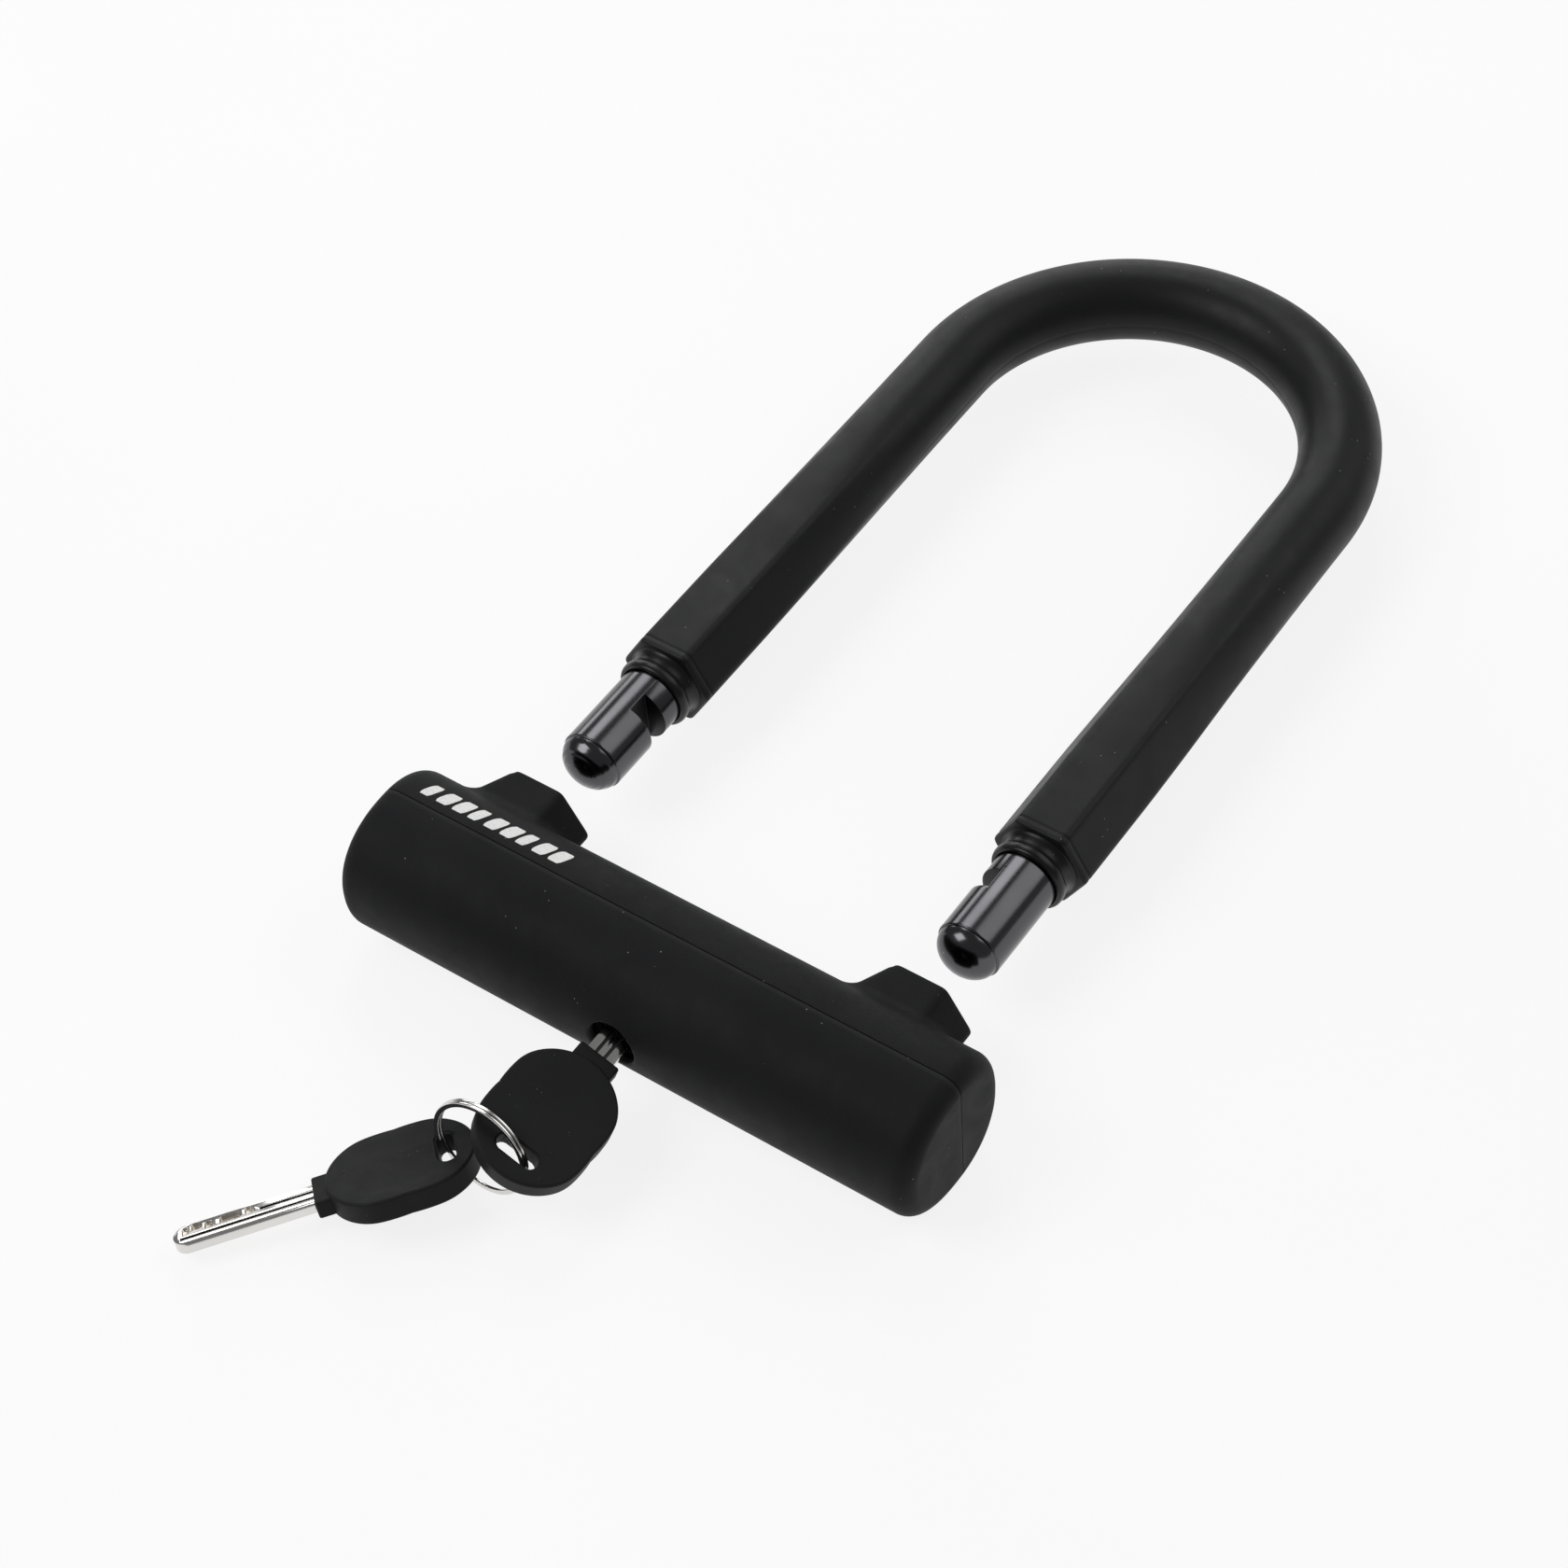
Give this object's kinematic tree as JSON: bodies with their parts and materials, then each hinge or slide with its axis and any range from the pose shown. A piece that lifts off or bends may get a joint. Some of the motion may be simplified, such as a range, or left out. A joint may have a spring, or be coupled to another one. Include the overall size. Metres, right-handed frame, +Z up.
{
  "type": "bicycle u lock",
  "caption": "U-shaped bicycle lock: a covered steel shackle drawn out of its crossbar, a key in the crossbar's cylinder, and a spare key on a split ring.",
  "frame": {"origin": "middle of the box round the whole object, on the surface the lock lies on", "axes": "+X along the crossbar, +Y from the crossbar towards the shackle's bend, +Z up from the surface"},
  "size_m": [0.155, 0.3668, 0.037],
  "materials": {
    "cover": "soft-touch matte",
    "rubber": "smooth moulded",
    "bar": "polished black nickel",
    "bow": "fine matte",
    "bright": "bright nickel plate",
    "steel": "plain machined",
    "brass": "machined",
    "guide": "moulded"
  },
  "bodies": {
    "crossbar": {"front_cover": "cover", "rear_cover": "cover", "crossbar_tube": "steel", "left_end_plug": "guide", "right_end_plug": "guide", "left_foot_guide": "guide", "right_foot_guide": "guide", "cylinder_housing": "brass", "cylinder_pin": "steel"},
    "shackle": {"shackle_bar": "bar", "shackle_sleeve": "rubber", "left_collar": "rubber", "right_collar": "rubber"},
    "barrel": {"key_barrel": "brass", "lock_disc_1": "brass", "lock_disc_2": "brass", "lock_disc_3": "brass", "lock_disc_4": "brass", "lock_disc_5": "brass", "lock_disc_6": "brass", "lock_disc_7": "brass", "sidebar": "steel", "bolt_cam": "steel"},
    "left_bolt": {"left_bolt": "steel"},
    "right_bolt": {"right_bolt": "steel"},
    "key": {"key_blade": "bright", "key_bow": "bow"},
    "ring": {"key_ring": "bright"},
    "spare_key": {"spare_key_blade": "bright", "spare_key_bow": "bow"}
  },
  "joints": [
    {"name": "shackle_slide", "type": "slide", "parent": "crossbar", "child": "shackle", "axis": [0, 1, 0], "range_m": [-0.0473, 0]},
    {"name": "key_turn", "type": "hinge", "parent": "crossbar", "child": "barrel", "pos_m": [0, -0.0769, 0.0185], "axis": [0, 1, 0], "range_deg": [-20, 70]},
    {"name": "left_bolt_slide", "type": "slide", "parent": "crossbar", "child": "left_bolt", "axis": [-1, 0, 0], "range_m": [-0.00116, 0.004]},
    {"name": "right_bolt_slide", "type": "slide", "parent": "crossbar", "child": "right_bolt", "axis": [1, 0, 0], "range_m": [-0.00116, 0.004]},
    {"name": "key_withdraw", "type": "slide", "parent": "barrel", "child": "key", "axis": [0, -1, 0], "range_m": [0, 0.035]},
    {"name": "ring_swing", "type": "hinge", "parent": "key", "child": "ring", "pos_m": [0.00207, -0.1315, 0.01775], "axis": [-0.2182, 0.1653, 0.9618], "range_deg": [-6, 30]},
    {"name": "spare_key_swing", "type": "hinge", "parent": "ring", "child": "spare_key", "pos_m": [-0.01894, -0.13346, 0.0087], "axis": [0.5721, -0.1322, -0.8095], "range_deg": [-24, 40]}
  ],
  "couplings": [
    {"joint": "left_bolt_slide", "follows": "key_turn", "m_per_rad": 0.003241},
    {"joint": "right_bolt_slide", "follows": "key_turn", "m_per_rad": 0.003241}
  ]
}
